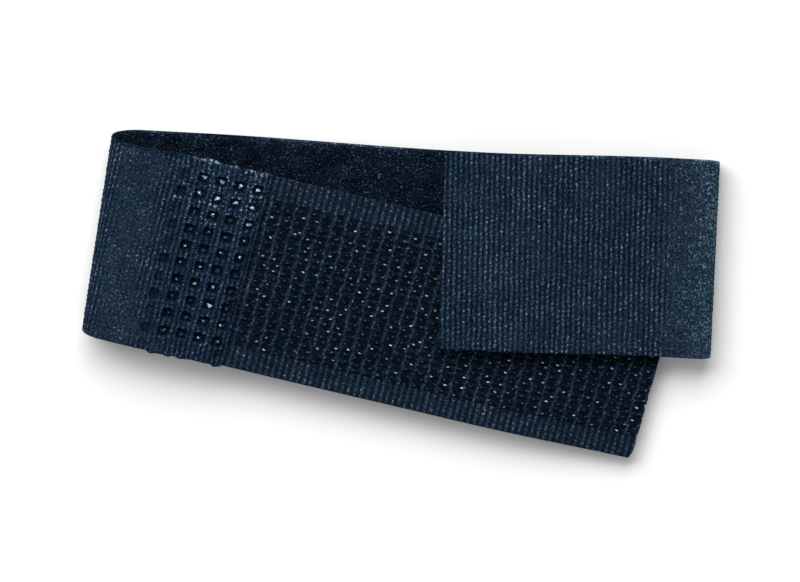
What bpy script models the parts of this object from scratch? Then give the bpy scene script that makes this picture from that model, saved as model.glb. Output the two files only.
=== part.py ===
"""Hook-and-loop tourniquet band, closed into a flat loop and lying on its back run.

A loop tape runs from its weld, over the front, round the left fold, back under everything,
round the right fold, and ends in the tail. A hook tape starts under the weld and runs
between the back run and the tail. +X is along the band, +Y across it, +Z up.
"""

import math

import bmesh
import bpy

MM = 0.001

# Tape cross-section
TAPE_WIDTH = 25.4 * MM
WEAVE = 0.4 * MM  # thickness of the woven ground
PILE = 0.4 * MM  # height of the loop pile
HOOK = 0.5 * MM  # height of the hooks
GAP = 0.3 * MM  # clearance between neighbouring solids
PILE_INSET = 1.2 * MM  # bare selvedge beside the pile
HOOK_INSET = 2.9 * MM  # bare selvedge beside the hooks
HOOK_PITCH = 1.6 * MM  # one hook row to the next
HOOK_ROW = 0.9 * MM  # length of a hook row along the tape
HOOK_BASE = 0.2 * MM  # hook layer between its rows
HOOK_SLOPE = 0.12 * MM  # plan length of a row's sloping side

# Headings: how far each run turns below +X, in degrees
BACK_HEADING = 3.2
FRONT_HEADING = 14.5
TAIL_HEADING = 3.6
LEFT_FOLD_TILT = 8.75
RIGHT_FOLD_TILT = 2.0

# Plan position of the bounding box centre, moved to the origin
CENTRE_X = 0.18 * MM
CENTRE_Y = -0.18 * MM

# Where each run's centre line crosses X = 0, and where folds and cut ends lie on it
BACK_Y = 6.45 * MM
FRONT_Y = -0.76 * MM
TAIL_Y = 7.57 * MM
LEFT_FOLD_X = -36.65 * MM
RIGHT_FOLD_X = 38.53 * MM
LEAD_END_X = -18.5 * MM
HOOK_START_X = -30.2 * MM
HOOK_END_X = 31.76 * MM
TAIL_END_X = 5.25 * MM
TAIL_END_TILT = 1.9

# Fold reaches: plan length of each half of a fold, from its crest to the straight run
LEFT_REACH_BACK = 3.6 * MM
LEFT_REACH_FRONT = 2.4 * MM
RIGHT_REACH_BACK = 2.2 * MM
RIGHT_REACH_TAIL = 1.9 * MM

# Heights
ARCH_RISE = 1.6 * MM  # the back run bows up off the table between its two ends
ARCH_LEFT, ARCH_TOP_LEFT = -24 * MM, 8 * MM
ARCH_TOP_RIGHT, ARCH_RIGHT = 10 * MM, 33 * MM
LEAD_HEIGHT = 5.0 * MM  # middle of the loop tape's weave beside the left fold
WELD_HEIGHT = 3.8 * MM  # middle of the hook tape's weave under the weld
FRONT_FALL = 0.4 * MM  # how far the front run falls before it meets the stack
FRONT_FALL_LEFT, FRONT_FALL_RIGHT = -19 * MM, 7 * MM
STACK_LEFT, STACK_RIGHT = 4 * MM, 16 * MM  # the front run settles on the back run's pile here
HOOK_TAPE_LIFT = WEAVE / 2 + GAP + PILE + GAP + WEAVE / 2
TAIL_LIFT = HOOK_TAPE_LIFT + WEAVE / 2 + GAP + HOOK + GAP + PILE + GAP + WEAVE / 2

# Weld nuggets, in a grid aligned with the front run
WELD_PITCH = 2.25 * MM
WELD_COLUMNS, WELD_ROWS = 5, 10
WELD_WIDTH = 23.4 * MM
WELD_FIRST_X = -28.6 * MM  # first column on the centre line
NUGGET = 1.2 * MM
WELD_PLATE = 0.2 * MM  # fused layer between the two weaves

# Hinge lines, all parallel to Y
MID_BACK_X = 4.5 * MM
MID_FRONT_X = -2.0 * MM

RUN_STEPS, FOLD_STEPS = 10, 14
LOWER, UPPER = -1, 1  # the two long edges of a tape

WEAVE_COLOUR = (0.020, 0.034, 0.055)
PILE_COLOUR = (0.010, 0.018, 0.030)
HOOK_COLOUR = (0.012, 0.020, 0.034)
NUGGET_COLOUR = (0.008, 0.013, 0.020)


def smooth(t):
    """Eased step from 0 to 1."""
    t = min(max(t, 0.0), 1.0)
    return t * t * (3 - 2 * t)


def tangent(degrees):
    return math.tan(math.radians(degrees))


def arch(x):
    """Height of the back run's bow above the table."""
    rise = smooth((x - ARCH_LEFT) / (ARCH_TOP_LEFT - ARCH_LEFT))
    fall = smooth((x - ARCH_TOP_RIGHT) / (ARCH_RIGHT - ARCH_TOP_RIGHT))
    return ARCH_RISE * rise * (1 - fall)


def back_height(x):
    return arch(x) + WEAVE / 2


def hook_tape_height(x):
    """Middle of the hook tape's weave: it slopes down from the weld and then lies on the pile."""
    fall = smooth((x - FRONT_FALL_LEFT) / (FRONT_FALL_RIGHT - FRONT_FALL_LEFT))
    sloping = WELD_HEIGHT - FRONT_FALL * fall
    resting = back_height(x) + HOOK_TAPE_LIFT
    share = smooth((x - STACK_LEFT) / (STACK_RIGHT - STACK_LEFT))
    return max(sloping * (1 - share) + resting * share, resting)


def lead_height(x):
    """Middle of the loop tape's weave from the left fold to the weld."""
    under_weld = WELD_HEIGHT + WEAVE + 2 * GAP + WELD_PLATE
    return LEAD_HEIGHT + (under_weld - LEAD_HEIGHT) * smooth((x - LEFT_FOLD_X) / (HOOK_START_X - LEFT_FOLD_X))


def tail_height(x):
    return back_height(x) + TAIL_LIFT


# A run is its centre line's Y at X = 0, its heading and its height
BACK = (BACK_Y, BACK_HEADING, back_height)
LEAD = (FRONT_Y, FRONT_HEADING, lead_height)
HOOK_TAPE = (FRONT_Y, FRONT_HEADING, hook_tape_height)
TAIL = (TAIL_Y, TAIL_HEADING, tail_height)


def edge_point(run, side, x, width, level):
    """Point on a run's long edge at plan X, level above the middle of its weave."""
    y_at_zero, heading, height = run
    y = y_at_zero - x * tangent(heading) + side * width / 2 / math.cos(math.radians(heading))
    return (x - CENTRE_X, y - CENTRE_Y, height(x) + level)


def square_cut(run, x, width=TAPE_WIDTH):
    """Plan X of a cut square across a run, for each of its edges."""
    sweep = width / 2 * math.sin(math.radians(run[1]))
    return {side: x + side * sweep for side in (LOWER, UPPER)}


def tilted_line(x, tilt, shift=0.0, width=TAPE_WIDTH):
    """Plan X of a line tilted from +Y, for each edge of a tape, moved along X by shift."""
    return {side: x + side * width / 2 * tangent(tilt) + shift for side in (LOWER, UPPER)}


def run_sections(run, start, end, width, low, high, steps=RUN_STEPS):
    """Cross-sections along a run, four corners each, between two cut lines."""
    sections = []
    for i in range(steps + 1):
        share = i / max(steps, 1)
        x = {side: start[side] + (end[side] - start[side]) * share for side in (LOWER, UPPER)}
        sections.append(
            [
                edge_point(run, LOWER, x[LOWER], width, low),
                edge_point(run, UPPER, x[UPPER], width, low),
                edge_point(run, UPPER, x[UPPER], width, high),
                edge_point(run, LOWER, x[LOWER], width, high),
            ]
        )
    return sections


def fold_sections(fold, width, inner, outer):
    """Cross-sections round a fold. inner and outer are distances outwards from the weave's middle."""
    crest_x, tilt, outward, lower_run, upper_run, lower_reach, upper_reach = fold
    sections = []
    for i in range(FOLD_STEPS + 1):
        angle = math.pi * (i / FOLD_STEPS - 0.5)
        corners = []
        for side, distance in ((LOWER, inner), (UPPER, inner), (UPPER, outer), (LOWER, outer)):
            crest = tilted_line(crest_x, tilt, width=width)[side]
            lower_x, upper_x = crest - outward * lower_reach, crest - outward * upper_reach
            low = edge_point(lower_run, side, lower_x, width, 0.0)
            high = edge_point(upper_run, side, upper_x, width, 0.0)
            radius = (high[2] - low[2]) / 2
            reach = lower_reach if angle < 0 else upper_reach
            normal_x, normal_z = radius * math.cos(angle), reach * math.sin(angle)
            scale = distance / math.hypot(normal_x, normal_z)
            corners.append(
                (
                    crest - CENTRE_X - outward * reach * (1 - math.cos(angle)) + outward * normal_x * scale,
                    low[1] + (high[1] - low[1]) * smooth(i / FOLD_STEPS),
                    (low[2] + high[2]) / 2 + radius * math.sin(angle) + normal_z * scale,
                )
            )
        sections.append(corners)
    return sections


def material(name, colour, roughness):
    finish = bpy.data.materials.new(name)
    finish.use_nodes = True
    shader = finish.node_tree.nodes["Principled BSDF"]
    shader.inputs["Base Color"].default_value = (*colour, 1)
    shader.inputs["Roughness"].default_value = roughness
    shader.inputs["Metallic"].default_value = 0.0
    return finish


def loft(name, solids, colour, roughness=0.7):
    """One object from a list of solids, each a list of four-cornered cross-sections."""
    mesh = bpy.data.meshes.new(name)
    shape = bmesh.new()
    for sections in solids:
        rings = [[shape.verts.new(corner) for corner in section] for section in sections]
        for near, far in zip(rings, rings[1:]):
            for i in range(4):
                j = (i + 1) % 4
                shape.faces.new((near[i], near[j], far[j], far[i]))
        shape.faces.new(list(reversed(rings[0])))
        shape.faces.new(rings[-1])
    bmesh.ops.recalc_face_normals(shape, faces=shape.faces)
    shape.to_mesh(mesh)
    shape.free()
    mesh.materials.append(material(name, colour, roughness))
    node = bpy.data.objects.new(name, mesh)
    bpy.context.scene.collection.objects.link(node)
    return node


def block_sections(run, x, offset, length, width, low, high):
    """A small block on a run: x is on the centre line and offset is measured square across it."""
    heading = math.radians(run[1])
    centre_y = run[0] - x * math.tan(heading)
    sections = []
    for along in (-length / 2, length / 2):
        corners = []
        for across, level in ((-1, low), (1, low), (1, high), (-1, high)):
            sideways = offset + across * width / 2
            px = x + along * math.cos(heading) + sideways * math.sin(heading)
            py = centre_y - along * math.sin(heading) + sideways * math.cos(heading)
            corners.append((px - CENTRE_X, py - CENTRE_Y, run[2](px) + level))
        sections.append(corners)
    return sections


def hook_rows(start_x, end_x):
    """The hook layer between two centre-line positions: a thin base with a ridge for each row."""
    step = HOOK_PITCH * math.cos(math.radians(FRONT_HEADING))
    count = int((end_x - start_x - HOOK_ROW) / step) + 1
    first = (start_x + end_x - (count - 1) * step) / 2
    profile = [(start_x, HOOK_BASE)]
    for i in range(count):
        middle = first + i * step
        for x, height in (
            (middle - HOOK_ROW / 2, HOOK_BASE),
            (middle - HOOK_ROW / 2 + HOOK_SLOPE, HOOK),
            (middle + HOOK_ROW / 2 - HOOK_SLOPE, HOOK),
            (middle + HOOK_ROW / 2, HOOK_BASE),
        ):
            profile.append((x, height))
    profile.append((end_x, HOOK_BASE))
    width, low = TAPE_WIDTH - 2 * HOOK_INSET, WEAVE / 2 + GAP
    sections = []
    for x, height in profile:
        at = square_cut(HOOK_TAPE, x, width)
        sections.append(run_sections(HOOK_TAPE, at, at, width, low, low + height, 0)[0])
    return sections


def weld_blocks(size, low, high):
    """The weld's grid of blocks, measured on the loop tape's lead."""
    step = WELD_PITCH * math.cos(math.radians(FRONT_HEADING))
    middle = (WELD_ROWS - 1) / 2
    return [
        block_sections(LEAD, WELD_FIRST_X + column * step, (row - middle) * WELD_PITCH, size, size, low, high)
        for column in range(WELD_COLUMNS)
        for row in range(WELD_ROWS)
    ]


def combine(node, helper, operation):
    """Cut the helper's blocks out of a node, or join them to it."""
    helper.hide_render = True
    helper.display_type = "WIRE"
    boolean = node.modifiers.new("weld_grid", "BOOLEAN")
    boolean.operation = operation
    boolean.object = helper


LEFT_FOLD = (LEFT_FOLD_X, LEFT_FOLD_TILT, -1, BACK, LEAD, LEFT_REACH_BACK, LEFT_REACH_FRONT)
RIGHT_FOLD = (RIGHT_FOLD_X, RIGHT_FOLD_TILT, 1, BACK, TAIL, RIGHT_REACH_BACK, RIGHT_REACH_TAIL)
PILE_WIDTH = TAPE_WIDTH - 2 * PILE_INSET
PILE_NEAR, PILE_FAR = WEAVE / 2 + GAP, WEAVE / 2 + GAP + PILE


def build_back_run():
    for width, low, high, layer, colour in (
        (TAPE_WIDTH, -WEAVE / 2, WEAVE / 2, "weave", WEAVE_COLOUR),
        (PILE_WIDTH, PILE_NEAR, PILE_FAR, "pile", PILE_COLOUR),
    ):
        left = tilted_line(LEFT_FOLD_X, LEFT_FOLD_TILT, LEFT_REACH_BACK + GAP, width)
        right = tilted_line(RIGHT_FOLD_X, RIGHT_FOLD_TILT, -RIGHT_REACH_BACK - GAP, width)
        middle_left = square_cut(BACK, MID_BACK_X - GAP / 2, width)
        middle_right = square_cut(BACK, MID_BACK_X + GAP / 2, width)
        loft(f"back_{layer}_left", [run_sections(BACK, left, middle_left, width, low, high)], colour)
        loft(f"back_{layer}_right", [run_sections(BACK, middle_right, right, width, low, high)], colour)


def build_fold(name, fold):
    loft(f"{name}_weave", [fold_sections(fold, TAPE_WIDTH, -WEAVE / 2, WEAVE / 2)], WEAVE_COLOUR)
    loft(f"{name}_pile", [fold_sections(fold, PILE_WIDTH, -PILE_FAR, -PILE_NEAR)], PILE_COLOUR)


def build_lead():
    """The loop tape's front end: pierced weave over the weld, and pile up to the weld."""
    start = tilted_line(LEFT_FOLD_X, LEFT_FOLD_TILT, LEFT_REACH_FRONT + GAP)
    end = square_cut(LEAD, LEAD_END_X)
    weave = loft(
        "lead_weave",
        [run_sections(LEAD, start, end, TAPE_WIDTH, -WEAVE / 2, WEAVE / 2)],
        WEAVE_COLOUR,
    )
    holes = loft("weld_hole_cutter", weld_blocks(NUGGET + 2 * GAP, -WEAVE, WEAVE), NUGGET_COLOUR)
    combine(weave, holes, "DIFFERENCE")
    pile_start = tilted_line(LEFT_FOLD_X, LEFT_FOLD_TILT, LEFT_REACH_FRONT + GAP, PILE_WIDTH)
    pile_end = square_cut(LEAD, HOOK_START_X - GAP, PILE_WIDTH)
    loft("lead_pile", [run_sections(LEAD, pile_start, pile_end, PILE_WIDTH, -PILE_FAR, -PILE_NEAR)], PILE_COLOUR)


def build_weld():
    """The fused layer between the two weaves, with a nugget standing in each hole of the lead."""
    step = WELD_PITCH * math.cos(math.radians(FRONT_HEADING))
    margin = NUGGET / 2 + GAP
    near = square_cut(LEAD, WELD_FIRST_X - margin, WELD_WIDTH)
    far = square_cut(LEAD, WELD_FIRST_X + (WELD_COLUMNS - 1) * step + margin, WELD_WIDTH)
    low = -WEAVE / 2 - GAP - WELD_PLATE
    plate = loft(
        "weld_nuggets",
        [run_sections(LEAD, near, far, WELD_WIDTH, low, low + WELD_PLATE)],
        NUGGET_COLOUR,
        0.25,
    )
    posts = loft("weld_post_shapes", weld_blocks(NUGGET, low + WELD_PLATE / 2, 0.0), NUGGET_COLOUR)
    combine(plate, posts, "UNION")


def build_hook_tape():
    start = square_cut(HOOK_TAPE, HOOK_START_X)
    middle_left = square_cut(HOOK_TAPE, MID_FRONT_X - GAP / 2)
    middle_right = square_cut(HOOK_TAPE, MID_FRONT_X + GAP / 2)
    end = square_cut(HOOK_TAPE, HOOK_END_X)
    for name, near, far in (("left", start, middle_left), ("right", middle_right, end)):
        weave = run_sections(HOOK_TAPE, near, far, TAPE_WIDTH, -WEAVE / 2, WEAVE / 2, 2 * RUN_STEPS)
        loft(f"hook_tape_weave_{name}", [weave], WEAVE_COLOUR)
    loft("hook_rows_left", [hook_rows(LEAD_END_X + GAP, MID_FRONT_X - GAP / 2)], HOOK_COLOUR, 0.35)
    loft("hook_rows_right", [hook_rows(MID_FRONT_X + GAP / 2, HOOK_END_X)], HOOK_COLOUR, 0.35)


def build_tail():
    for width, low, high, layer, colour in (
        (TAPE_WIDTH, -WEAVE / 2, WEAVE / 2, "weave", WEAVE_COLOUR),
        (PILE_WIDTH, -PILE_FAR, -PILE_NEAR, "pile", PILE_COLOUR),
    ):
        end = tilted_line(TAIL_END_X, TAIL_END_TILT, 0.0, width)
        fold = tilted_line(RIGHT_FOLD_X, RIGHT_FOLD_TILT, -RIGHT_REACH_TAIL - GAP, width)
        loft(f"tail_{layer}", [run_sections(TAIL, end, fold, width, low, high)], colour)


def main():
    for old in list(bpy.data.objects):
        bpy.data.objects.remove(old)
    build_back_run()
    build_fold("left_fold", LEFT_FOLD)
    build_fold("right_fold", RIGHT_FOLD)
    build_lead()
    build_weld()
    build_hook_tape()
    build_tail()


main()
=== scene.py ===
"""Looks for the flat hook-and-loop tourniquet band.

Lengths are millimetres until a mesh is made. The tape is laid out as in the CAD: a loop
tape from its weld over the front, round the left fold, back under everything, round the
right fold and into the tail, and a hook tape from under the weld to the right.
"""

import math

import bpy
import numpy as np
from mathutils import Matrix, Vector

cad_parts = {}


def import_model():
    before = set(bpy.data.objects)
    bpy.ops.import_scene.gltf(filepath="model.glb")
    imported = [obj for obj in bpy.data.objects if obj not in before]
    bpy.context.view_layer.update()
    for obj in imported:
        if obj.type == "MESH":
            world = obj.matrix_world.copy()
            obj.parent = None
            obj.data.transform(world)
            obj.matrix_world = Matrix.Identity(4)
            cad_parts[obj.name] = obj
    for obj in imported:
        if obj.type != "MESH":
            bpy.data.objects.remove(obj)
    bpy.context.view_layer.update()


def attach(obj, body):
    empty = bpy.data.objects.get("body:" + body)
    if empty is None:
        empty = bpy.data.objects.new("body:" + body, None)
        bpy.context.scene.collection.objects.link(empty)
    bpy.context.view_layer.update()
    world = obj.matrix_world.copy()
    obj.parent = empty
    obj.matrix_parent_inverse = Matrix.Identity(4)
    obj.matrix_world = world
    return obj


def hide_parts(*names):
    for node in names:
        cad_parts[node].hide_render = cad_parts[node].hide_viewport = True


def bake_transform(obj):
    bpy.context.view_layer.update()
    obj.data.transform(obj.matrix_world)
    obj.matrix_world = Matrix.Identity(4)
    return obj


MM = 0.001

# Tape
TAPE_WIDTH = 25.4
WEAVE = 0.4
PILE_INSET = 0.2  # bare selvedge beside the pile
HOOK_INSET = 2.9  # bare selvedge beside the hooks

# Headings below +X and tilts from +Y, in degrees
BACK_HEADING, FRONT_HEADING, TAIL_HEADING = 3.2, 14.5, 3.6
LEFT_FOLD_TILT, RIGHT_FOLD_TILT, TAIL_END_TILT = 8.75, 2.0, 1.9

# Plan layout
CENTRE_X, CENTRE_Y = 0.18, -0.18
BACK_Y, FRONT_Y, TAIL_Y = 6.45, -0.76, 7.57
LEFT_FOLD_X, RIGHT_FOLD_X = -36.65, 38.53
LEAD_END_X, HOOK_START_X, HOOK_END_X, TAIL_END_X = -18.5, -30.2, 31.76, 5.25
LEFT_REACH_BACK, LEFT_REACH_FRONT = 3.6, 2.4
RIGHT_REACH_BACK, RIGHT_REACH_TAIL = 2.2, 1.9
BACK_SEAM_X = 29.0  # the back run's two pieces meet here

# Heights of the middle of each weave
ARCH_RISE = 1.6
LEAD_HEIGHT, WELD_HEIGHT, FRONT_FALL = 5.0, 3.8, 0.4
HOOK_TAPE_LIFT, TAIL_LIFT = 1.4, 3.6
WELD_SINK = 0.55  # the weld presses the lead down onto the hook tape

# Where each bend starts, and the step from there to its end
LEFT_BEND = (-33.2, 8.4, 0.6), (0.8, -0.12, 3.6)
BACK_BEND = (-0.7, 0, 0), (10.0, 0, 0)
RIGHT_BEND = (34.5, 4.48, 0.0), (3.85, -0.134, 1.9)
PEEL_BEND = (38.35, 4.48, 2.1), (-3.85, 0.134, 1.9)
FRONT_BEND = (-6.7, 0, 0), (9.0, 0, 0)

# Weave patterns
RIB_PITCH, RIB_DEPTH, BEAD_PITCH = 0.64, 0.17, 0.65
HOOK_RIB_PITCH, HOOK_RIB_DEPTH, HOOK_ROW_PITCH, SELVEDGE_PITCH = 1.6, 0.16, 1.68, 0.8
LEFT_FLAT = (2.6, 6.5)  # from where to where the ribs are pulled flat, off a line beside the fold
LEFT_FLAT_SHIFT = -4.2  # from the left fold's end to that line
RIGHT_FLAT = (0.0, 5.5)
LEFT_SHEEN_REACH, RIGHT_SHEEN_REACH = 5.0, 3.5  # how far the painted sheen of each fold carries along the tape

# Filaments
HOOK_HEIGHT, HOOK_RADIUS, HOOK_SWEEP = 0.74, 0.17, 200
HOOK_STAGGER, HOOK_MISSING = 0.16, 0.04  # shares of the rib pitch and of the hooks
NAP_BASE, NAP_LUMPS = 0.18, 0.3
LOOP_WIDTH, LOOP_SIDES, LOOP_POINTS = 0.3, 3, 7
HOOK_FILAMENT, LOOP_FILAMENT = 0.085, 0.032  # radii
HOOK_SIDES = 6

# Weld grid, laid out on the lead
WELD_PITCH, WELD_COLUMNS, WELD_ROWS = 2.25, 5, 10
WELD_FIRST_X = -28.6
PIT_HALF, PIT_DEPTH = 0.63, 0.42
WELD_SHIFT_S, WELD_SHIFT_V = 0.2, 0.33
WELD_FIRST_S = (LEAD_END_X - WELD_FIRST_X) / math.cos(math.radians(FRONT_HEADING)) - WELD_SHIFT_S
WELD_LENGTH, MELT_LENGTH, CUT_LENGTH = 12.0, 11.5, 1.5  # along the tape from its cut end
LOWEST_TOP = -0.42
NUGGET_SIZE = (0.42, 0.36, 0.3)
LIT_FACET = (-0.1, 0.56, 0.82)  # faces turned this way throw the key light at the camera

CAMERA_LIFT = 20.0  # degrees the camera leans from straight above towards +Y
CAMERA_DISTANCE, VIEW_WIDTH, SENSOR_WIDTH = 1200.0, 97.9, 36.0

# Light, in metres
KEY_LIGHT_AT, KEY_LIGHT_SIZE, KEY_LIGHT_POWER = (-0.24, 0.77, 0.6), (1.25, 0.55), 17.5
SKY_STRENGTH = 0.36
TABLE_HALF = 3

# Fixed random tables for dice
SHUFFLE = np.random.default_rng(17).permutation(1024)
VALUES = np.random.default_rng(18).random(1024)


# ---------------------------------------------------------------- numbers


def smooth(t):
    t = np.clip(t, 0.0, 1.0)
    return t * t * (3 - 2 * t)


def wave(turns):
    """A cosine between 0 and 1, 1 at whole turns."""
    return 0.5 + 0.5 * np.cos(2 * np.pi * turns)


def dice(i, j, seed=0):
    """A fixed random number from 0 to 1 for each pair of whole numbers."""
    i, j = np.asarray(i).astype(int), np.asarray(j).astype(int)
    return VALUES[SHUFFLE[(i + SHUFFLE[(j + SHUFFLE[seed]) % 1024]) % 1024]]


def noise(u, v, seed=0):
    """Smooth noise from -1 to 1 over cells one unit wide."""
    i, j = np.floor(u), np.floor(v)
    a, b = smooth(u - i), smooth(v - j)
    low = dice(i, j, seed) * (1 - a) + dice(i + 1, j, seed) * a
    high = dice(i, j + 1, seed) * (1 - a) + dice(i + 1, j + 1, seed) * a
    return 2 * (low * (1 - b) + high * b) - 1


def evened(values):
    """The same values as their rank, spread evenly from 0 to 1."""
    order = np.empty(values.size)
    order[np.argsort(values, axis=None, kind="stable")] = np.linspace(0, 1, values.size)
    return order.reshape(values.shape)


def tangent(degrees):
    return math.tan(math.radians(degrees))


def unit(vectors):
    return vectors / np.maximum(np.linalg.norm(vectors, axis=-1, keepdims=True), 1e-9)


# ---------------------------------------------------------------- tape paths


def arch(x):
    return ARCH_RISE * smooth((x + 24.0) / 32.0) * (1 - smooth((x - 10.0) / 23.0))


def back_height(x):
    return arch(x) + WEAVE / 2


def lead_height(x):
    return LEAD_HEIGHT - WELD_SINK * smooth((x - LEFT_FOLD_X - 3.5) / 7.0)


def hook_tape_height(x):
    sloping = WELD_HEIGHT - FRONT_FALL * smooth((x + 19.0) / 26.0)
    resting = back_height(x) + HOOK_TAPE_LIFT
    share = smooth((x - 4.0) / 12.0)
    return np.maximum(sloping * (1 - share) + resting * share, resting)


def tail_height(x):
    return back_height(x) + TAIL_LIFT


BACK = (BACK_Y, BACK_HEADING, back_height)
LEAD = (FRONT_Y, FRONT_HEADING, lead_height)
HOOK_TAPE = (FRONT_Y, FRONT_HEADING, hook_tape_height)
TAIL = (TAIL_Y, TAIL_HEADING, tail_height)
LEFT_FOLD = (LEFT_FOLD_X, LEFT_FOLD_TILT, -1, BACK, LEAD, LEFT_REACH_BACK, LEFT_REACH_FRONT)
RIGHT_FOLD = (RIGHT_FOLD_X, RIGHT_FOLD_TILT, 1, BACK, TAIL, RIGHT_REACH_BACK, RIGHT_REACH_TAIL)


def run_points(run, x, v):
    """Points on a run, v to one side of its centre line."""
    y_at_zero, heading, height = run
    y = y_at_zero - x * tangent(heading) + v / math.cos(math.radians(heading))
    return np.stack([x - CENTRE_X, y - CENTRE_Y, height(x) + 0.0 * v], -1)


def fold_points(fold, share, v):
    """Points round a fold, share 0 on its lower run and 1 on its upper run."""
    crest_x, tilt, outward, lower, upper, reach_low, reach_high = fold
    angle = math.pi * (share - 0.5)
    crest = crest_x + v * tangent(tilt)
    low = run_points(lower, crest - outward * reach_low, v)
    high = run_points(upper, crest - outward * reach_high, v)
    reach = np.where(angle < 0, reach_low, reach_high)
    x = crest - outward * reach * (1 - np.cos(angle)) - CENTRE_X
    # a cubic that leaves each run along its heading
    slope_low = -tangent(lower[1]) * outward * reach_low * math.pi
    slope_high = tangent(upper[1]) * outward * reach_high * math.pi
    ease = smooth(share)
    y = low[..., 1] * (1 - ease) + high[..., 1] * ease
    y = y + slope_low * share * (1 - share) ** 2 - slope_high * share**2 * (1 - share)
    middle, radius = (low[..., 2] + high[..., 2]) / 2, (high[..., 2] - low[..., 2]) / 2
    return np.stack([x, y, middle + radius * np.sin(angle)], -1)


def stations(start, end, count):
    """count values from start to end, on every line across the tape."""
    t = np.linspace(0, 1, count)
    return start[:, None] * (1 - t) + end[:, None] * t


class Strip:
    """A tape as lines of points along it, one for each place v across it."""

    def __init__(self, v, parts):
        self.v = v
        self.points = np.concatenate(list(parts.values()), axis=1)
        steps = np.linalg.norm(np.diff(self.points, axis=1), axis=-1)
        self.length = np.concatenate([np.zeros((len(v), 1)), np.cumsum(steps, axis=1)], axis=1)
        self.end, count = {"": self.length[:, 0]}, 0
        for name, part in parts.items():
            count += part.shape[1]
            self.end[name] = self.length[:, count - 1]

    def sample(self, start, end, count):
        """Points at count even steps between two lengths on every line, and those lengths."""
        s = stations(start, end, count)
        points = np.empty(s.shape + (3,))
        for i in range(len(self.v)):
            for axis in range(3):
                points[i, :, axis] = np.interp(s[i], self.length[i], self.points[i, :, axis])
        return points, s


def loop_tape(v):
    rows = v[:, None]
    cut = LEAD_END_X + v * math.sin(math.radians(FRONT_HEADING))
    weld = HOOK_START_X + v * math.sin(math.radians(FRONT_HEADING))
    left = LEFT_FOLD_X + v * tangent(LEFT_FOLD_TILT)
    right = RIGHT_FOLD_X + v * tangent(RIGHT_FOLD_TILT)
    seam = BACK_SEAM_X + v * math.sin(math.radians(BACK_HEADING))
    tail_cut = TAIL_END_X + v * tangent(TAIL_END_TILT)
    return Strip(v, {
        "weld": run_points(LEAD, stations(cut, weld, 60), rows),
        "lead": run_points(LEAD, stations(weld, left + LEFT_REACH_FRONT, 30), rows),
        "left_fold": fold_points(LEFT_FOLD, np.linspace(1, 0, 90)[None, :], rows),
        "back": run_points(BACK, stations(left + LEFT_REACH_BACK, seam, 300), rows),
        "back_end": run_points(BACK, stations(seam, right - RIGHT_REACH_BACK, 60), rows),
        "fold_low": fold_points(RIGHT_FOLD, np.linspace(0, 0.5, 50)[None, :], rows),
        "fold_high": fold_points(RIGHT_FOLD, np.linspace(0.5, 1, 50)[None, :], rows),
        "tail": run_points(TAIL, stations(right - RIGHT_REACH_TAIL, tail_cut, 160), rows),
    })


def hook_tape(v):
    rows = v[:, None]
    shift = v * math.sin(math.radians(FRONT_HEADING))
    along = stations(HOOK_START_X + shift, HOOK_END_X + shift, 500)
    return Strip(v, {"all": run_points(HOOK_TAPE, along, rows)})


def lines_across(width, step, edge=True):
    """Places across a tape, closer together at its rounded edges."""
    half = width / 2
    if not edge:
        return np.linspace(-half, half, int(round(width / step)) + 1)
    rim = np.array([0.0, 0.03, 0.09, 0.18])
    inset = 0.3
    inner = np.linspace(-half + inset, half - inset, int(round((width - 2 * inset) / step)) + 1)
    return np.concatenate([-half + rim, inner, half - rim[::-1]])


# ---------------------------------------------------------------- meshes


def make_object(name, points, faces, material, fields=None):
    """A mesh from points in millimetres and lists of faces, with one float for each point per field."""
    mesh = bpy.data.meshes.new(name)
    mesh.from_pydata((np.asarray(points) * MM).tolist(), [], [f for group in faces for f in group.tolist()])
    mesh.shade_smooth()
    for key, values in (fields or {}).items():
        values = np.asarray(values, np.float32)
        if values.ndim == 1:
            mesh.attributes.new(key, "FLOAT", "POINT").data.foreach_set("value", values)
        else:
            mesh.attributes.new(key, "FLOAT_VECTOR", "POINT").data.foreach_set("vector", values.ravel())
    mesh.materials.append(material)
    piece = bpy.data.objects.new(name, mesh)
    bpy.context.scene.collection.objects.link(piece)
    return piece


def stitch(fine, coarse, at, forward):
    """Triangles between a fine edge and a coarse edge, whose points stand opposite fine[at]."""
    triangles = []
    for j in range(len(coarse) - 1):
        first, last = at[j], at[j + 1]
        middle = (first + last) // 2
        for k in range(first, last):
            triangles.append((fine[k], fine[k + 1], coarse[j] if k < middle else coarse[j + 1]))
        triangles.append((fine[middle], coarse[j + 1], coarse[j]))
    triangles = np.array(triangles)
    return triangles if forward else triangles[:, ::-1]


def every(count, step):
    """Indices 0, step, 2 step and so on, and the last one."""
    picked = list(range(0, count - 1, step))
    if len(picked) > 1 and count - 1 - picked[-1] < step / 2:
        picked.pop()
    return np.array(picked + [count - 1])


def surface_normals(points):
    """Unit normals, along (across the tape) x (along the tape)."""
    return unit(np.cross(np.gradient(points, axis=0), np.gradient(points, axis=1)))


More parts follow.
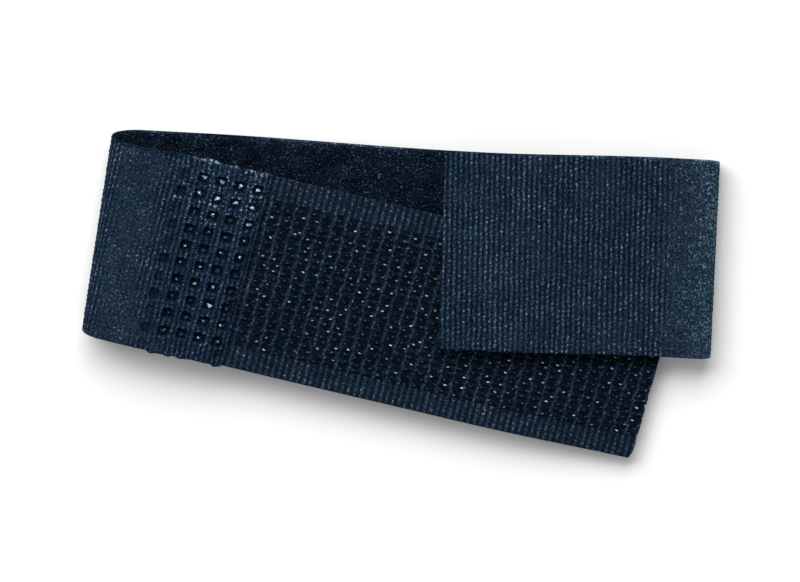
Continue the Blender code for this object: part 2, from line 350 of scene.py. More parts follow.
def closed_sheet(name, points, lengths, v, top, bottom, material, fields, coarse=4):
    """A thin closed sheet: a fine face top above the middle, and a coarse face bottom below it."""
    normals = surface_normals(points)
    rows, columns = points.shape[:2]
    upper = points + normals * top[..., None]
    pick_v, pick_s = every(rows, coarse), every(columns, coarse)
    grid = np.ix_(pick_v, pick_s)
    lower = points[grid] - normals[grid] * bottom[grid][..., None]
    index = np.arange(rows * columns).reshape(rows, columns)
    under = rows * columns + np.arange(lower.shape[0] * lower.shape[1]).reshape(lower.shape[:2])
    top_faces = np.stack([index[:-1, :-1], index[1:, :-1], index[1:, 1:], index[:-1, 1:]], -1).reshape(-1, 4)
    low_faces = np.stack([under[:-1, :-1], under[:-1, 1:], under[1:, 1:], under[1:, :-1]], -1).reshape(-1, 4)
    rims = [
        stitch(index[0], under[0], pick_s, True),
        stitch(index[-1], under[-1], pick_s, False),
        stitch(index[:, 0], under[:, 0], pick_v, False),
        stitch(index[:, -1], under[:, -1], pick_v, True),
    ]
    tape = np.stack([lengths, np.broadcast_to(v[:, None], lengths.shape), 0 * lengths], -1)
    layers = {"tape": np.concatenate([tape.reshape(-1, 3), tape[grid].reshape(-1, 3)])}
    for key, values in fields.items():
        layers[key] = np.concatenate([values.ravel(), values[grid].ravel()])
    piece = make_object(
        name,
        np.concatenate([upper.reshape(-1, 3), lower.reshape(-1, 3)]),
        [top_faces, low_faces, *rims],
        material,
        layers,
    )
    piece.data.set_sharp_from_angle(angle=math.radians(70))
    return piece


def tubes(paths, planes, radius, sides):
    """Capped tubes along many paths (tubes, points, 3), each lying in a plane with that normal."""
    count, length = paths.shape[:2]
    tangents = unit(np.gradient(paths, axis=1))
    side = np.broadcast_to(unit(planes)[:, None, :], paths.shape)
    out = unit(np.cross(side, tangents))
    turns = 2 * np.pi * np.arange(sides) / sides
    radius = np.broadcast_to(radius, (count, length))[..., None, None]
    ring = np.cos(turns)[:, None] * side[:, :, None] + np.sin(turns)[:, None] * out[:, :, None]
    points = paths[:, :, None] + ring * radius
    index = np.arange(count * length * sides).reshape(count, length, sides)
    turned = np.roll(index, -1, axis=2)
    walls = np.stack([index[:, :-1], turned[:, :-1], turned[:, 1:], index[:, 1:]], -1).reshape(-1, 4)
    caps = np.concatenate([index[:, 0, ::-1], index[:, -1]])
    return points.reshape(-1, 3), [walls, caps]


def join_parts(parts):
    """One list of points and faces from several."""
    points, faces, base = [], [], 0
    for part_points, part_faces in parts:
        points.append(part_points)
        faces += [group + base for group in part_faces]
        base += len(part_points)
    return np.concatenate(points), faces


def on_grid(grid, v_lines, v, t):
    """Values of a grid (lines across, steps along) at places v and shares t along it."""
    i = np.clip(np.interp(v, v_lines, np.arange(len(v_lines))), 0, len(v_lines) - 1.001)
    j = np.clip(t * (grid.shape[1] - 1), 0, grid.shape[1] - 1.001)
    i0, j0 = i.astype(int), j.astype(int)
    a, b = (i - i0)[:, None], (j - j0)[:, None]
    near = grid[i0, j0] * (1 - b) + grid[i0, j0 + 1] * b
    far = grid[i0 + 1, j0] * (1 - b) + grid[i0 + 1, j0 + 1] * b
    return near * (1 - a) + far * a


# ---------------------------------------------------------------- materials


def srgb(red, green, blue):
    """Linear colour from values out of 255."""
    values = [c / 255 for c in (red, green, blue)]
    return [c / 12.92 if c <= 0.04045 else ((c + 0.055) / 1.055) ** 2.4 for c in values] + [1.0]


class Finish:
    """A node material, built a node at a time."""

    def __init__(self, name):
        self.material = bpy.data.materials.new(name)
        self.material.use_nodes = True
        self.tree = self.material.node_tree
        self.shader = self.tree.nodes["Principled BSDF"]
        self.shader.inputs["Metallic"].default_value = 0.0

    def node(self, kind, inputs=None, **settings):
        made = self.tree.nodes.new("ShaderNode" + kind)
        for key, value in settings.items():
            setattr(made, key, value)
        for key, value in (inputs or {}).items():
            self.feed(made.inputs[key], value)
        return made

    def feed(self, socket, value):
        if isinstance(value, bpy.types.NodeSocket):
            self.tree.links.new(value, socket)
        else:
            socket.default_value = value

    def attribute(self, name, vector=False):
        made = self.node("Attribute", attribute_name=name)
        return made.outputs["Vector" if vector else "Fac"]

    def math(self, operation, a, b=0.0, clamp=False):
        return self.node("Math", {0: a, 1: b}, operation=operation, use_clamp=clamp).outputs[0]

    def ramp(self, value, low, high, out_low=0.0, out_high=1.0):
        return self.node("MapRange", {0: value, 1: low, 2: high, 3: out_low, 4: out_high}).outputs[0]

    def mix(self, factor, a, b, blend="MIX"):
        return self.node("Mix", {0: factor, 6: a, 7: b}, data_type="RGBA", blend_type=blend).outputs[2]

    def colours(self, value, stops):
        made = self.node("ValToRGB", {0: value})
        band = made.color_ramp.elements
        while len(band) < len(stops):
            band.new(0.5)
        for element, (place, colour) in zip(band, stops):
            element.position, element.color = place, colour
        return made.outputs[0]

    def noise(self, vector, scale, detail=2.0, roughness=0.5):
        inputs = {"Vector": vector, "Scale": scale, "Detail": detail, "Roughness": roughness}
        return self.node("TexNoise", inputs).outputs["Fac"]

    def stretched(self, vector, scale):
        return self.node("Mapping", {"Vector": vector, "Scale": scale}).outputs[0]

    def bump(self, height, distance, strength):
        return self.node("Bump", {"Height": height, "Distance": distance, "Strength": strength}).outputs[0]

    def set(self, **inputs):
        for key, value in inputs.items():
            self.feed(self.shader.inputs[key.replace("_", " ")], value)


# Colours of each finish, from its lowest tone to its highest; on the woven tapes the lowest are painted shade
# between ribs and the highest painted highlights and sparkles
TONES = (
    (0.0, srgb(2, 6, 13)),
    (0.25, srgb(7, 19, 33)),
    (0.42, srgb(17, 30, 45)),
    (0.58, srgb(26, 39, 55)),
    (0.75, srgb(40, 53, 70)),
    (0.9, srgb(67, 82, 100)),
    (1.0, srgb(122, 138, 154)),
)
HOOK_TONES = (
    (0.0, srgb(3, 9, 16)),
    (0.25, srgb(11, 21, 32)),
    (0.42, srgb(19, 30, 42)),
    (0.58, srgb(26, 39, 54)),
    (0.75, srgb(40, 53, 69)),
    (0.9, srgb(67, 82, 99)),
    (1.0, srgb(122, 138, 154)),
)
PILE_TONES = (
    (0.36, srgb(1, 7, 15)),
    (0.5, srgb(8, 17, 28)),
    (0.62, srgb(17, 27, 39)),
    (0.9, srgb(58, 72, 88)),
)
# The top colours of hook filament and fused nylon are painted glints
HOOK_FILAMENT_TONES = ((0.0, srgb(3, 8, 14)), (0.4, srgb(30, 42, 56)), (1.0, srgb(170, 184, 196)))
LOOP_FILAMENT_TONES = ((0.0, srgb(2, 8, 16)), (0.6, srgb(16, 27, 40)), (1.0, srgb(95, 110, 125)))
WELD_TONES = ((0.0, srgb(3, 8, 14)), (0.4, srgb(28, 40, 54)), (1.0, srgb(165, 180, 192)))


def woven_finish(name, colours):
    """Nylon yarn, coloured by the weave's tone from painted shade between its ribs to painted highlights on
    its brightest fibres, with random grain and mottle.
    """
    finish = Finish(name)
    place = finish.attribute("tape", True)
    grain = finish.noise(finish.stretched(place, (4.6, 3.6, 1.0)), 1.0, 2.0, 0.75)
    fibres = finish.noise(finish.stretched(place, (12.0, 4.0, 1.0)), 1.0, 2.0, 0.6)
    mottle = finish.noise(place, 0.25, 3.0, 0.6)
    tint = finish.noise(place, 0.12, 2.0)
    level = finish.math("ADD", finish.math("MULTIPLY", finish.attribute("tone"), 0.6), 0.2)
    level = finish.math("ADD", level, finish.ramp(grain, 0.0, 1.0, -0.95, 0.95))
    level = finish.math("ADD", level, finish.ramp(mottle, 0.0, 1.0, -0.12, 0.12), clamp=True)
    # the tint is pushed towards teal beside the folds: painted sheen
    tint = finish.math("SUBTRACT", finish.ramp(tint, 0.35, 0.65), finish.attribute("painted_fold_sheen"))
    tinted = finish.mix(finish.ramp(tint, -1.0, 1.0), (0.72, 1.07, 0.985, 1), (1.08, 0.98, 1.015, 1))
    finish.set(
        Base_Color=finish.mix(1.0, finish.colours(level, colours), tinted, "MULTIPLY"),
        Roughness=finish.ramp(fibres, 0.2, 0.8, 0.65, 0.9),
        Normal=finish.bump(fibres, 0.06 * MM, 0.7),
    )
    finish.set(Specular_IOR_Level=0.01, Specular_Tint=(0.35, 0.7, 1.0, 1.0))
    return finish.material


def pile_finish():
    finish = Finish("loop_pile")
    place = finish.attribute("tape", True)
    fuzz = finish.noise(place, 3.2, 3.0, 0.75)
    specks = finish.noise(place, 4.5, 0.0)
    patches = finish.noise(place, 0.35, 2.0)
    level = finish.math("MULTIPLY", fuzz, finish.ramp(patches, 0.3, 0.7, 0.85, 1.15))
    level = finish.math("ADD", level, finish.ramp(specks, 0.6, 0.8, 0.0, 0.4), clamp=True)
    finish.set(Base_Color=finish.colours(level, PILE_TONES), Roughness=0.9)
    finish.set(Normal=finish.bump(fuzz, 0.15 * MM, 0.8))
    finish.set(Specular_IOR_Level=0.01)
    return finish.material


def filament_finish(name, colours, roughness, specular):
    """Bare nylon, lighter where its tone is high: painted glints on hook crowns and weld nuggets, random
    lightness on pile loops.
    """
    finish = Finish(name)
    vary = finish.noise(finish.node("TexCoord").outputs["Object"], 900.0, 2.0)
    uneven = finish.ramp(vary, 0.3, 0.7, 0.7, 1.3)
    level = finish.math("MULTIPLY", finish.attribute("tone"), uneven, clamp=True)
    finish.set(
        Base_Color=finish.colours(level, colours),
        Roughness=finish.ramp(vary, 0.3, 0.7, roughness - 0.06, roughness + 0.08),
    )
    finish.set(Specular_IOR_Level=specular)
    return finish.material


# ---------------------------------------------------------------- weave relief


def edge_round(v, width, radius=0.22):
    """1 on the flat of a tape and 0 at its very edge."""
    inside = np.clip((width / 2 - np.abs(v)) / radius, 0, 1)
    return np.sqrt(1 - (1 - inside) ** 2)


def loop_back_relief(s, v, flat):
    """Ribs across the loop tape, each a row of slanting beads: the height and the tone, 0 to 1.
    Where flat is 1 the ribs are pulled out flat and only a fine grain shows."""
    rib = s / RIB_PITCH + 0.09 * noise(s / 2.2, v / 1.6, 5)
    row = np.rint(rib)
    f = rib - row
    along = v / BEAD_PITCH + 0.5 * row + 0.7 * dice(row, 3, 1) + 0.5 * f + 0.35 * noise(v / 1.3, row, 9)
    bead = np.rint(along)
    chance = dice(row, bead, 2)
    ridge = wave(f + 0.1 * (dice(row, bead, 4) - 0.5)) ** 0.9
    knot = wave(along - bead)
    height = ridge * (0.5 + 0.5 * knot) * (0.65 + 0.35 * chance)
    grain = 0.5 + 0.25 * noise(s / 0.4, v / 0.35, 11) + 0.25 * noise(s / 0.22, v / 0.22, 12)
    patch = 0.3 * smooth(noise(s / 2.8, v / 2.2, 15) * 1.6)
    flat = np.clip(0.85 * flat + patch, 0, 0.92)
    # tone: painted highlight on the bead crowns and painted shade between the ribs, times a random strength
    # for each bead and rib
    tone = evened((0.15 + ridge) * (0.6 + 0.4 * knot) * (0.6 + 0.4 * chance))
    return height * (1 - flat) + grain * flat, tone * (1 - flat) + (0.33 + 0.6 * grain) * flat


def pulled_flat(s, v, crest, near, far):
    """How far the ribs are pulled out flat beside a fold's crest: 1 from near to far along the tape."""
    away = np.abs(s - crest)
    return smooth((away - near) / 1.5) * (1 - smooth((away - far + 1.3 * noise(s / 2.5, v / 2.5, 14)) / 3.0))


def weld_pits(s, v):
    """How far each place is into a weld pit, 0 to 1, and how near it is to a pit's raised rim."""
    column = np.clip(np.rint((WELD_FIRST_S - s) / WELD_PITCH), 0, WELD_COLUMNS - 1)
    row = np.clip(np.rint((v - WELD_SHIFT_V) / WELD_PITCH + (WELD_ROWS - 1) / 2), 0, WELD_ROWS - 1)
    ds = s - (WELD_FIRST_S - column * WELD_PITCH)
    dv = v - WELD_SHIFT_V - (row - (WELD_ROWS - 1) / 2) * WELD_PITCH
    ds, dv = ds + 0.12 * (dice(column, row, 4) - 0.5), dv + 0.12 * (dice(column, row, 5) - 0.5)
    reach = (np.abs(ds) ** 5 + np.abs(dv) ** 5) ** 0.2
    strength = np.where(column == 0, 0.2 + 0.35 * dice(column, row, 6), 0.85 + 0.15 * dice(column, row, 7))
    pit = 1 - smooth((reach - PIT_HALF + 0.12) / 0.24)
    rim = np.exp(-(((reach - PIT_HALF - 0.22) / 0.15) ** 2))
    return pit * strength, rim * strength


# ---------------------------------------------------------------- pieces


def count_for(strip, start, end, step):
    middle = len(strip.v) // 2
    return int(round((end[middle] - start[middle]) / step)) + 1


def loop_weave_piece(name, strip, start, end, step, material, weld=False, ragged=0.0):
    """One piece of the loop tape's woven side, between two lengths on every line."""
    v = strip.v
    if ragged:
        end = end + ragged * (noise(v / 0.7, v * 0, 21) + 0.6 * noise(v / 0.25, v * 0, 22))
    points, s = strip.sample(start, end, count_for(strip, start, end, step))
    across = np.broadcast_to(v[:, None], s.shape)
    left, right = (strip.end[fold][:, None] for fold in ("left_fold", "fold_low"))
    flat = np.maximum(
        pulled_flat(s, across, left + LEFT_FLAT_SHIFT, *LEFT_FLAT),
        pulled_flat(s, across, right, *RIGHT_FLAT),
    )
    relief, tone = loop_back_relief(s, across, flat)
    left_fold_painted_sheen = np.exp(-(((s - left) / LEFT_SHEEN_REACH) ** 2))
    right_fold_painted_sheen = np.exp(-(((s - right) / RIGHT_SHEEN_REACH) ** 2))
    # painted sheen: the tone is raised beside the right fold
    tone = tone + 0.35 * right_fold_painted_sheen
    top = WEAVE / 2 - RIB_DEPTH * (1 - relief)
    bottom = np.full(s.shape, WEAVE / 2)
    if weld:
        points, top, bottom, tone = pressed_by_weld(points, s, across, top, bottom, tone)
    round_edge = edge_round(across, TAPE_WIDTH)
    top = top * (0.25 + 0.75 * round_edge)
    bottom = bottom * (0.3 + 0.7 * round_edge)
    bottom = np.maximum(bottom, 0.1 - top)
    fields = {"tone": tone, "painted_fold_sheen": 0.7 * left_fold_painted_sheen + right_fold_painted_sheen}
    return closed_sheet(name, points, s, v, top, bottom, material, fields)


def pile_piece(name, strip, start, end, step, material):
    """The brushed loop side: a lumpy nap lying on the inner face of the weave."""
    v = strip.v
    points, s = strip.sample(start, end, count_for(strip, start, end, step))
    points, s, v = points[::-1], s[::-1], v[::-1]
    across = np.broadcast_to(v[:, None], s.shape)
    lumps = 0.5 + 0.3 * noise(s / 0.8, across / 0.7, 41) + 0.3 * noise(s / 0.35, across / 0.3, 42)
    top = WEAVE / 2 + NAP_BASE + NAP_LUMPS * np.clip(lumps, 0, 1)
    top = WEAVE / 2 + (top - WEAVE / 2) * (0.25 + 0.75 * edge_round(across, 2 * abs(v[0]), 0.5))
    bottom = np.full(s.shape, -WEAVE / 2 + 0.02)
    return closed_sheet(name, points, s, v, top, bottom, material, {}, coarse=3)


def melted_edge(s, v):
    """How far melted nylon has run out at the tape's edges beside the weld."""
    edge = smooth((np.abs(v) - TAPE_WIDTH / 2 + 0.7) / 0.7)
    lumps = np.clip(noise(s / 0.75, np.sign(v) * 3.5, 36) + 0.35, 0, 1.2)
    return np.where(v > 0, 0.6, 0.34) * edge * lumps * smooth((MELT_LENGTH - s) / 1.5) * smooth(s / 1.4)


def pressed_by_weld(points, s, v, top, bottom, tone):
    """The lead after welding: pits with rims, painted sparkle patches, melted edges and a thin cut end, with
    painted shade in the pits and along the top edge.
    """
    pits, rims = weld_pits(s, v)
    melted = melted_edge(s, v)
    in_weld = smooth((WELD_LENGTH - s) / 1.5)
    rough = 0.5 + 0.5 * noise(s / 0.3, v / 0.3, 33)
    # painted sparkle: random bright specks in the tone, stronger towards the top rows and at the pit rims
    painted_sparkle = (noise(s / 0.2, v / 0.2, 35) > 0.5) * (0.3 + 0.7 * smooth((v - 3.0) / 5.0))
    top_edge_painted_shade = smooth((v - 12.3) / 0.3)
    cut = smooth((CUT_LENGTH - s + 0.6 * noise(v / 0.9, v * 0, 34)) / CUT_LENGTH)
    points = points + melted[..., None] * edge_outward(points)
    top = top + in_weld * (0.1 * (rough - 0.5) + 0.06 * rims) + 0.8 * melted
    top = top * (1 - pits) + pits * (0.03 - PIT_DEPTH)
    top = np.maximum(top - cut * 0.5, LOWEST_TOP)
    bottom = bottom + cut * 0.25
    tone = tone * (1 - in_weld) + in_weld * np.clip(0.85 * tone + (0.5 + 0.5 * rims) * painted_sparkle, 0, 2.0)
    # painted highlight on the melted nylon along the top edge
    tone = tone + (v > 0) * melted * 1.5
    # painted shade along the lead's top edge outside the weld, offsetting the key light's rim highlight
    tone = tone * (1 - 0.6 * top_edge_painted_shade * (1 - in_weld))
    # painted shade: the tone is darkened inside the weld pits
    tone = tone * (1 - np.clip(1.3 * pits, 0, 1)) + 0.03 * pits
    return points, top, bottom, tone


def edge_outward(points):
    """Unit vectors across the tape, pointing out of it at each side."""
    across = unit(np.gradient(points, axis=0))
    return across * np.where(np.arange(len(points)) < len(points) / 2, -1.0, 1.0)[:, None, None]


def build_tapes(weave, pile):
    v = lines_across(TAPE_WIDTH, 0.13)
    strip = loop_tape(v)
    mark = strip.end
    front = loop_weave_piece("loop_tape_front", strip, mark[""], mark["left_fold"], 0.11, weave, weld=True)
    start, end = mark["fold_low"], mark["tail"]
    tail = loop_weave_piece("loop_tape_tail", strip, start, end, 0.115, weave, ragged=0.05)
    coarse = loop_tape(lines_across(TAPE_WIDTH, 0.16))
    mark = coarse.end
    back = loop_weave_piece("loop_tape_back", coarse, mark["left_fold"], mark["back"], 0.16, weave)
    turn = loop_weave_piece("loop_tape_turn", coarse, mark["back"], mark["fold_low"], 0.16, weave)
    nap = loop_tape(lines_across(TAPE_WIDTH - 2 * PILE_INSET, 0.2, edge=False))
    mark = nap.end
    piles = [
        pile_piece("loop_pile_front", nap, mark["weld"] + 0.3, mark["left_fold"], 0.25, pile),
        pile_piece("loop_pile_back", nap, mark["left_fold"], mark["back"], 0.2, pile),
        pile_piece("loop_pile_turn", nap, mark["back"], mark["fold_low"], 0.25, pile),
        pile_piece("loop_pile_tail", nap, mark["fold_low"], mark["tail"] - 0.15, 0.25, pile),
    ]
    return front, back, turn, tail, piles


def hook_ground_relief(s, v):
    """Ribs across the hook tape, close together beside its edges and far apart in the hook field.
    Gives the height, the tone and how far each place is into the field."""
    half = TAPE_WIDTH / 2 - HOOK_INSET
    field = smooth((half + 0.2 - np.abs(v)) / 0.4)
    rib = s / HOOK_RIB_PITCH + 0.08 * noise(s / 2.5, v / 1.6, 51)
    row = np.rint(rib)
    step = v / HOOK_ROW_PITCH + 0.4 * dice(row, 5, 59)
    slant = 0.16 * (step - np.floor(step) - 0.5)
    f = rib - row - slant
    along = v / 0.6 + 0.37 * row + 0.8 * f + 0.3 * noise(v, row, 57)
    chance = dice(row, np.rint(along), 52)
    ridge = np.exp(-((f / 0.085) ** 2))
    knot = wave(along)
    weft = wave(v / 0.84 + 0.3 * noise(s / 0.8, v, 53)) * (1 - ridge)
    middle = np.clip(ridge * (0.6 + 0.4 * knot) + 0.2 * weft, 0, 1)
    # middle_tone: painted highlight on the rib crests and knots and painted shade on the ground between them,
    # with random change from knot to knot
    middle_tone = ridge * (0.5 + 0.5 * knot) * (0.35 + 0.65 * chance)
    middle_tone += 0.12 * weft + 0.06 * noise(s / 0.3, v / 0.3, 58)
    close = s / SELVEDGE_PITCH + 0.05 * noise(s / 2, v / 1.0, 55)
    close_row = np.rint(close)
    g = close - close_row
    cord = v / 0.62 + 0.3 * close_row + 0.4 * g
    luck = dice(close_row, np.rint(cord), 56)
    selvedge = wave(g) ** 1.5 * (0.5 + 0.5 * wave(cord)) * (0.7 + 0.3 * luck)
    # selvedge_tone: painted highlight on the close ribs and painted shade in the gaps between, with random
    # change from cord to cord
    selvedge_tone = wave(g) ** 1.5 * (0.4 + 0.6 * wave(cord)) * (0.35 + 0.65 * luck)
    height = middle * field + selvedge * (1 - field)
    in_field = field > 0.5
    tone = np.empty(s.shape)
    tone[in_field] = 1.05 * evened(middle_tone[in_field]) ** 2.2 - 0.15
    tone[~in_field] = 0.9 * evened(selvedge_tone[~in_field])
    return height, tone, field


def build_hook_tape(material):
    v = lines_across(TAPE_WIDTH, 0.15)
    strip = hook_tape(v)
    start, end = strip.end[""], strip.end["all"]
    jag = 0.16 * noise(v / 0.8, v * 0, 61) + 0.1 * noise(v / 0.25, v * 0, 62)
    corner = 0.4 * smooth((-v - TAPE_WIDTH / 2 + 0.9) / 0.9) ** 2
    points, s = strip.sample(start, end + jag - corner, count_for(strip, start, end, 0.155))
    points, s, v = points[::-1], s[::-1], v[::-1]
    across = np.broadcast_to(v[:, None], s.shape)
    relief, tone, field = hook_ground_relief(s, across)
    edge = edge_round(across, TAPE_WIDTH)
    top = (WEAVE / 2 - HOOK_RIB_DEPTH * (1 - relief)) * (0.25 + 0.75 * edge) + 0.06 * field
    bottom = np.full(s.shape, WEAVE / 2) * (0.3 + 0.7 * edge)
    return closed_sheet("hook_tape", points, s, v, top, bottom, material, {"tone": tone})


def hook_curve(height, radius, sweep, points):
    """A hook in its own plane: a stem, then an arch over to one side and down."""
    stem = np.stack([np.zeros(3), np.linspace(0, height - radius, 3)], -1)
    turn = np.linspace(0, math.radians(sweep), points)[1:]
    arc = np.stack([radius * (1 - np.cos(turn)), height - radius + radius * np.sin(turn)], -1)
    return np.concatenate([stem, arc])


def hook_places(length, rng):
    """Where the hooks stand past the weld, as rows of s, v and which way along the tape each hook faces."""
    first = (LEAD_END_X + 1.0 - HOOK_START_X) / math.cos(math.radians(FRONT_HEADING))
    half = TAPE_WIDTH / 2 - HOOK_INSET - 0.2
    rows = np.arange(int(first / HOOK_RIB_PITCH), int(length / HOOK_RIB_PITCH))
    lanes = np.arange(int(2 * half / HOOK_ROW_PITCH) + 1)
    places = []
    for side, offset in ((-1, 0.0), (1, 0.5)):
        s_row, lane = np.meshgrid((rows + 0.5 + side * HOOK_STAGGER) * HOOK_RIB_PITCH, lanes)
        v_hook = (lane + offset + 0.25) * HOOK_ROW_PITCH - half
        places.append(np.stack([s_row.ravel(), v_hook.ravel(), np.full(s_row.size, side)], -1))
    places = np.concatenate(places)
    places = places[(places[:, 1] < half) & (places[:, 0] < length - 0.6)]
    places[:, :2] += rng.normal(0, 0.1, (len(places), 2))
    return places[rng.random(len(places)) > HOOK_MISSING]


def build_hooks(material):
    v_lines = lines_across(TAPE_WIDTH, 0.5)
    strip = hook_tape(v_lines)
    points = strip.sample(strip.end[""], strip.end["all"], 400)[0]
    up = -surface_normals(points)
    along = unit(np.gradient(points, axis=1))
    length = float(strip.end["all"].mean())
    rng = np.random.default_rng(71)
    s, v, side = hook_places(length, rng).T
    count = len(s)
    foot = on_grid(points, v_lines, v, s / length)
    normal = unit(on_grid(up, v_lines, v, s / length))
    forward = unit(on_grid(along, v_lines, v, s / length)) * side[:, None]
    yaw = rng.normal(0, math.radians(15), count)[:, None]
    sideways = np.cross(normal, forward)
    facing = forward * np.cos(yaw) + sideways * np.sin(yaw)
    lean = rng.normal(0, 0.12, (count, 1))
    curve = hook_curve(HOOK_HEIGHT, HOOK_RADIUS, HOOK_SWEEP, 8)
    scale = rng.uniform(0.85, 1.08, (count, 1, 1))
    paths = (
        foot[:, None]
        + normal[:, None] * (0.1 + curve[None, :, 1:2] * scale)
        + facing[:, None] * ((curve[None, :, 0:1] - HOOK_RADIUS) * scale)
        + np.cross(normal, facing)[:, None] * (lean[:, None] * curve[None, :, 1:2])
    )
    planes = np.cross(facing, normal)
    # painted glint: the top of each hook's arch is lightened in its tone, by a random amount for each hook
    painted_crown_glint = smooth((curve[:, 1] - 0.6) / 0.12)[None, :] * (0.22 + 0.7 * rng.random(count) ** 3)[:, None]
    mesh = tubes(paths, planes, HOOK_FILAMENT, HOOK_SIDES)
    return make_object("hooks", *mesh, material, {"tone": np.repeat(painted_crown_glint.ravel(), HOOK_SIDES)})


def build_pile_loops(name, count, start, end, material, seed, height=0.5):
    """Thin loops standing out of the nap."""
    v_lines = lines_across(TAPE_WIDTH - 2 * PILE_INSET, 0.8, edge=False)
    strip = loop_tape(v_lines)
    points = strip.sample(strip.end[start], strip.end[end], 300)[0]
    normal_grid = -surface_normals(points)
    along_grid = unit(np.gradient(points, axis=1))
    rng = np.random.default_rng(seed)
    v = rng.uniform(v_lines[0] + 0.3, v_lines[-1] - 0.3, count)
    t = rng.uniform(0.005, 0.995, count)
    foot = on_grid(points, v_lines, v, t)
    normal = unit(on_grid(normal_grid, v_lines, v, t))
    along = unit(on_grid(along_grid, v_lines, v, t))
    yaw = rng.uniform(0, np.pi, count)[:, None]
    across = np.cross(normal, along)
    facing = along * np.cos(yaw) + across * np.sin(yaw)
    lean = rng.normal(0, 0.5, (count, 1))
    turn = np.linspace(0, np.pi, LOOP_POINTS)
    high = rng.uniform(0.6, 1.1, (count, 1, 1)) * height
    wide = rng.uniform(0.6, 1.3, (count, 1, 1)) * LOOP_WIDTH / 2
    rise = np.sin(turn)[None, :, None]
    paths = (
        foot[:, None]
        + normal[:, None] * (WEAVE / 2 + 0.15 + high * rise)
        + facing[:, None] * (wide * np.cos(turn)[None, :, None])
        + np.cross(normal, facing)[:, None] * (lean[:, None] * high * rise)
    )
    tone = np.repeat(rng.random(count) ** 2, LOOP_POINTS * LOOP_SIDES)
    mesh = tubes(paths, np.cross(facing, normal), LOOP_FILAMENT, LOOP_SIDES)
    return make_object(name, *mesh, material, {"tone": tone})


def unit_ball():
    """Points and triangles of a ball of radius 1."""
    bpy.ops.mesh.primitive_ico_sphere_add(subdivisions=2, radius=1.0)
    ball = bpy.context.object
    points = np.array([p.co for p in ball.data.vertices])
    faces = np.array([list(p.vertices) for p in ball.data.polygons])
    bpy.data.objects.remove(ball)
    return points, faces


def cut_nugget(ball, size, bright, lit_here, rng):
    """A lump with facets cut into it, one of them turned to the light if it is bright."""
    lump = ball * (1 + 0.08 * rng.normal(0, 1, (len(ball), 1))) * size
    turn = rng.uniform(0, 2 * math.pi)
    cuts = [(unit(rng.normal(0, 1, 3) * (1, 1, 0.5) + (0, 0, 0.6)), 0.6) for _ in range(3)]
    if bright:
        cuts.append((unit(lit_here + rng.normal(0, 0.08, 3)), 0.45))
    else:
        cuts = [cut for cut in cuts if cut[0] @ lit_here < 0.75]
    for extra in (0.0, 2.3):
        steep = np.array([math.cos(turn + extra), math.sin(turn + extra), 0.7])
        cuts.append((unit(steep), 0.22 if bright else 0.4))
    for face, share in cuts:
        depth = share * float(size @ np.abs(face))
        lump = lump - face * np.maximum(lump @ face - depth, 0)[:, None]
    return lump + np.array([*rng.normal(0, 0.06, 2), -0.75 * PIT_DEPTH])


def build_nuggets(material):
    """Fused nylon standing in the weld's pits."""
    v_lines = lines_across(TAPE_WIDTH, 0.5)
    strip = loop_tape(v_lines)
    reach = 14.0  # along the tape from its cut end, past the last column
    points = strip.sample(strip.end[""], strip.end[""] + reach, 200)[0]
    normals = surface_normals(points)
    along = unit(np.gradient(points, axis=1))
    ball, faces = unit_ball()
    rng = np.random.default_rng(81)
    parts, tones = [], []
    for column in range(WELD_COLUMNS):
        for row in range(WELD_ROWS):
            s_at = WELD_FIRST_S - column * WELD_PITCH
            v_at = (row - (WELD_ROWS - 1) / 2) * WELD_PITCH + WELD_SHIFT_V
            at = np.array([v_at]), np.array([s_at / reach])
            centre, normal, forward = (on_grid(g, v_lines, *at)[0] for g in (points, normals, along))
            normal, forward = unit(normal), unit(forward)
            side = np.cross(normal, forward)
            bright = rng.random() < (0.95 if row >= 8 else 0.4 if row == 7 else 0.08)
            size = np.array(NUGGET_SIZE) * rng.uniform(0.8, 1.1, 3) * (0.6 if column == 0 else 1.0)
            lit_here = np.array(LIT_FACET) @ np.stack([forward, side, normal], -1)
            lump = cut_nugget(ball, size, bright, lit_here, rng)
            placed = centre + lump[:, :1] * forward + lump[:, 1:2] * side + lump[:, 2:] * normal
            parts.append((placed, [faces]))
            # painted glint: nuggets picked as bright get a high tone, the rest a dark one
            tones.append(np.full(len(ball), rng.uniform(0.7, 1.0) if bright else 0.18))
    piece = make_object("weld_nuggets", *join_parts(parts), material, {"tone": np.concatenate(tones)})
    for polygon in piece.data.polygons:
        polygon.use_smooth = False
    return piece


# ---------------------------------------------------------------- stage


def build_stage():
    finish = Finish("table")
    grain = finish.noise(finish.node("TexCoord").outputs["Object"], 30.0, 2.0)
    finish.set(Base_Color=finish.mix(grain, (0.93, 0.93, 0.93, 1), (0.95, 0.95, 0.95, 1)), Roughness=0.9)
    finish.set(Specular_IOR_Level=0.0)
    mesh = bpy.data.meshes.new("table")
    corners = [(x * TABLE_HALF, y * TABLE_HALF, 0) for x, y in ((-1, -1), (1, -1), (1, 1), (-1, 1))]
    mesh.from_pydata(corners, [], [(0, 1, 2, 3)])
    mesh.materials.append(finish.material)
    table = bpy.data.objects.new("table", mesh)
    table.location.z = -0.05 * MM
    bpy.context.scene.collection.objects.link(table)


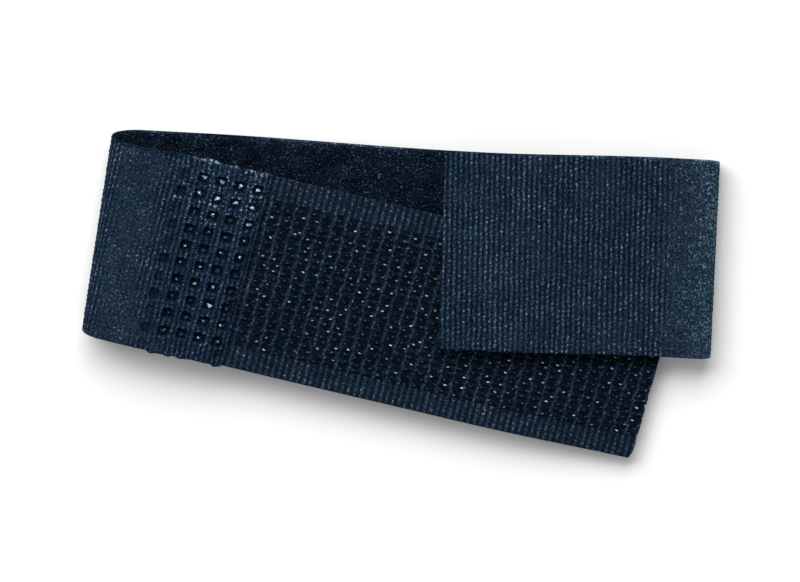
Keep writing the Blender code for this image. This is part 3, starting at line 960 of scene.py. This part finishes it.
def build_lights():
    world = bpy.data.worlds.new("studio")
    world.use_nodes = True
    world.node_tree.nodes["Background"].inputs["Color"].default_value = (1, 1, 1, 1)
    world.node_tree.nodes["Background"].inputs["Strength"].default_value = SKY_STRENGTH
    bpy.context.scene.world = world
    data = bpy.data.lights.new("key", "AREA")
    data.shape, data.energy = "RECTANGLE", KEY_LIGHT_POWER
    data.size, data.size_y = KEY_LIGHT_SIZE
    key = bpy.data.objects.new("key", data)
    key.location = KEY_LIGHT_AT
    key.rotation_euler = (-Vector(KEY_LIGHT_AT)).to_track_quat("-Z", "Y").to_euler()
    bpy.context.scene.collection.objects.link(key)


def build_camera():
    lean = math.radians(CAMERA_LIFT)
    data = bpy.data.cameras.new("camera")
    data.sensor_width = SENSOR_WIDTH
    data.lens = SENSOR_WIDTH * CAMERA_DISTANCE / VIEW_WIDTH
    camera = bpy.data.objects.new("camera", data)
    target = Vector((0, -CENTRE_Y, 0)) * MM
    away = Vector((0, math.sin(lean), math.cos(lean)))
    camera.location = target + away * CAMERA_DISTANCE * MM
    camera.rotation_euler = (-lean, 0, 0)
    bpy.context.scene.collection.objects.link(camera)
    bpy.context.scene.camera = camera


# ---------------------------------------------------------------- assembly


def declare_sheets(front, back, turn, tail, hook_piece, piles, loops, hooks):
    """Each length of tape with the size it was cut to, along its own middle."""
    middle = loop_tape(np.array([-0.1, 0.0, 0.1])).end
    cuts = (
        (front, middle["left_fold"][1] - middle[""][1], [piles[0], loops[0]], [hook_piece]),
        (back, middle["back"][1] - middle["left_fold"][1], [piles[1], loops[1]], ["table"]),
        (turn, middle["fold_low"][1] - middle["back"][1], [piles[2], loops[2]], ["table"]),
        (tail, middle["tail"][1] - middle["fold_low"][1], [piles[3], loops[3]], [hooks]),
        (hook_piece, hook_tape(np.array([-0.1, 0.0, 0.1])).end["all"][1], [hooks], [piles[1]]),
    )


def main():
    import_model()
    weave = woven_finish("loop_tape_weave", TONES)
    hook_ground = woven_finish("hook_tape_weave", HOOK_TONES)
    pile = pile_finish()
    hook_nylon = filament_finish("hook_filament", HOOK_FILAMENT_TONES, 0.3, 0.35)
    loop_nylon = filament_finish("loop_filament", LOOP_FILAMENT_TONES, 0.5, 0.2)
    weld_nylon = filament_finish("fused_nylon", WELD_TONES, 0.16, 1.0)

    front, back, turn, tail, piles = build_tapes(weave, pile)
    hook_piece = build_hook_tape(hook_ground)
    hooks = build_hooks(hook_nylon)
    nuggets = build_nuggets(weld_nylon)
    loops = build_pile_loops("pile_loops_back", 2400, "left_fold", "back", loop_nylon, 91)
    loops_turn = build_pile_loops("pile_loops_turn", 350, "back", "fold_low", loop_nylon, 92)
    loops_front = build_pile_loops("pile_loops_front", 500, "weld", "left_fold", loop_nylon, 93, 0.35)
    loops_tail = build_pile_loops("pile_loops_tail", 700, "fold_low", "tail", loop_nylon, 94, 0.3)

    for parent, child, bend, pieces in (
        ("back_left", "front_left", LEFT_BEND, (front, piles[0], loops_front)),
        ("back_left", "back_right", BACK_BEND, (back, piles[1], loops)),
        ("back_right", "right_turn", RIGHT_BEND, (turn, piles[2], loops_turn)),
        ("right_turn", "tail", PEEL_BEND, (tail, piles[3], loops_tail)),
        ("front_left", "front_right", FRONT_BEND, (hook_piece, hooks)),
    ):
        for piece in pieces:
            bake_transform(piece)
    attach(nuggets, "front_left")

    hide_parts("lead_weave", "left_fold_weave")
    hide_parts("back_weave_left", "back_weave_right")
    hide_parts("right_fold_weave")
    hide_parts("tail_weave")
    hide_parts("lead_pile", "left_fold_pile")
    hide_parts("back_pile_left", "back_pile_right")
    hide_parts("right_fold_pile")
    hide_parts("tail_pile")
    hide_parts("hook_tape_weave_left", "hook_tape_weave_right")
    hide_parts("hook_rows_left", "hook_rows_right")
    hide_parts("weld_nuggets")

    all_loops = (loops_front, loops, loops_turn, loops_tail)
    declare_sheets(front, back, turn, tail, hook_piece, piles, all_loops, hooks)
    build_stage()
    build_lights()
    build_camera()
    scene = bpy.context.scene
    scene.view_settings.view_transform = "Standard"


main()
